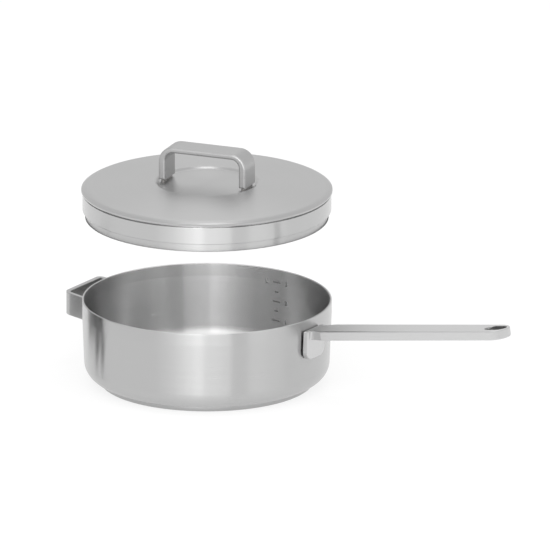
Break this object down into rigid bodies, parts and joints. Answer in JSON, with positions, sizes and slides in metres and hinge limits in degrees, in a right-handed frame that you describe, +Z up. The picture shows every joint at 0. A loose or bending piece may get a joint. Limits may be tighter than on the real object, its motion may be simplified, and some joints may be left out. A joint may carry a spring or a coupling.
{
  "type": "saute pan with lid",
  "caption": "Straight-sided steel saute pan with a flat bar handle, a U-shaped helper handle, an encapsulated base and a lifting lid with an arched handle.",
  "frame": {"origin": "on the pan's axis, at the underside of the base", "axes": "+Z up along the pan's axis, +X along the long handle towards its tip"},
  "size_m": [0.4888, 0.2416, 0.2344],
  "materials": {
    "pan_steel": "satin brushed round the wall",
    "base_steel": "satin",
    "core_aluminium": "rolled, hidden",
    "handle_steel": "satin brushed along the bar",
    "lid_steel": "satin",
    "weld_steel": "as welded"
  },
  "bodies": {
    "pan": {"pan_body": "pan_steel", "base_cap": "base_steel", "base_core": "core_aluminium", "long_handle": "handle_steel", "long_handle_welds": "weld_steel", "helper_handle": "handle_steel", "helper_handle_welds": "weld_steel"},
    "lid": {"lid_plate": "lid_steel", "lid_ring": "lid_steel", "lid_handle": "handle_steel", "lid_handle_welds": "weld_steel"}
  },
  "joints": [
    {"name": "lid_lift", "type": "slide", "parent": "pan", "child": "lid", "axis": [0, 0, 1], "range_m": [-0.08995, 0.06]}
  ]
}
